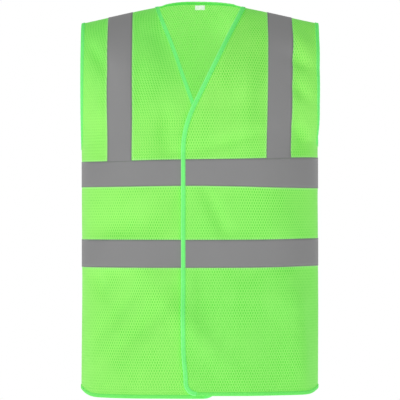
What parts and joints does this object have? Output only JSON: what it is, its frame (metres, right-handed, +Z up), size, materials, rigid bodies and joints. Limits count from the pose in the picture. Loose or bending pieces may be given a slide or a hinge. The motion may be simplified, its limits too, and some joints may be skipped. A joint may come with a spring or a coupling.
{
  "type": "high visibility vest",
  "caption": "Sleeveless mesh safety vest as worn, with lapped hook-and-loop fronts, grey reflective bands and braces, and bound edges.",
  "frame": {"origin": "between the shoulders on the middle plane, at half the height of the shoulder line, where the wearer carries the vest", "axes": "+Z up, the fronts face -Y, and +X is the wearer's left"},
  "size_m": [0.4316, 0.2486, 0.7163],
  "materials": {
    "cloth": "fluorescent green knitted polyester mesh, matt",
    "binding": "ribbed green edge binding, slight sheen",
    "tape": "grey retroreflective tape, satin",
    "hook": "woven hook fastener, matt",
    "loop": "brushed loop fastener, matt",
    "label": "woven satin label, plain white"
  },
  "bodies": {
    "garment": {"back_panel": "cloth", "back_hem_binding": "binding", "back_neck_binding": "binding", "left_back_armhole_binding": "binding", "right_back_armhole_binding": "binding", "back_lower_band": "tape", "back_upper_band": "tape", "left_back_brace_tape": "tape", "right_back_brace_tape": "tape"},
    "left_front": {"left_front_panel": "cloth", "left_front_armhole_binding": "binding", "left_front_edge_binding": "binding", "left_front_hem_binding": "binding", "left_front_lower_band": "tape", "left_front_upper_band": "tape", "left_front_brace_tape": "tape", "lower_hook_patch": "hook", "upper_hook_patch": "hook"},
    "right_front": {"right_front_panel": "cloth", "right_front_armhole_binding": "binding", "right_front_edge_binding": "binding", "right_front_hem_binding": "binding", "right_front_lower_band": "tape", "right_front_upper_band": "tape", "right_front_brace_tape": "tape", "lower_loop_patch": "loop", "upper_loop_patch": "loop"},
    "neck_label": {"neck_label": "label"}
  },
  "joints": [
    {"name": "left_front_swing", "type": "hinge", "parent": "garment", "child": "left_front", "pos_m": [0.2165, 0, -0.35], "axis": [0, 0, 1], "range_deg": [0, 60]},
    {"name": "right_front_swing", "type": "hinge", "parent": "garment", "child": "right_front", "pos_m": [-0.2165, 0, -0.35], "axis": [0, 0, -1], "range_deg": [0, 40]},
    {"name": "neck_label_flip", "type": "hinge", "parent": "garment", "child": "neck_label", "pos_m": [0, 0.0462, 0.0206], "axis": [-1, 0, 0], "range_deg": [-25, 100]}
  ],
  "couplings": [
    {"joint": "right_front_swing", "follows": "left_front_swing", "ratio": 0.65}
  ]
}
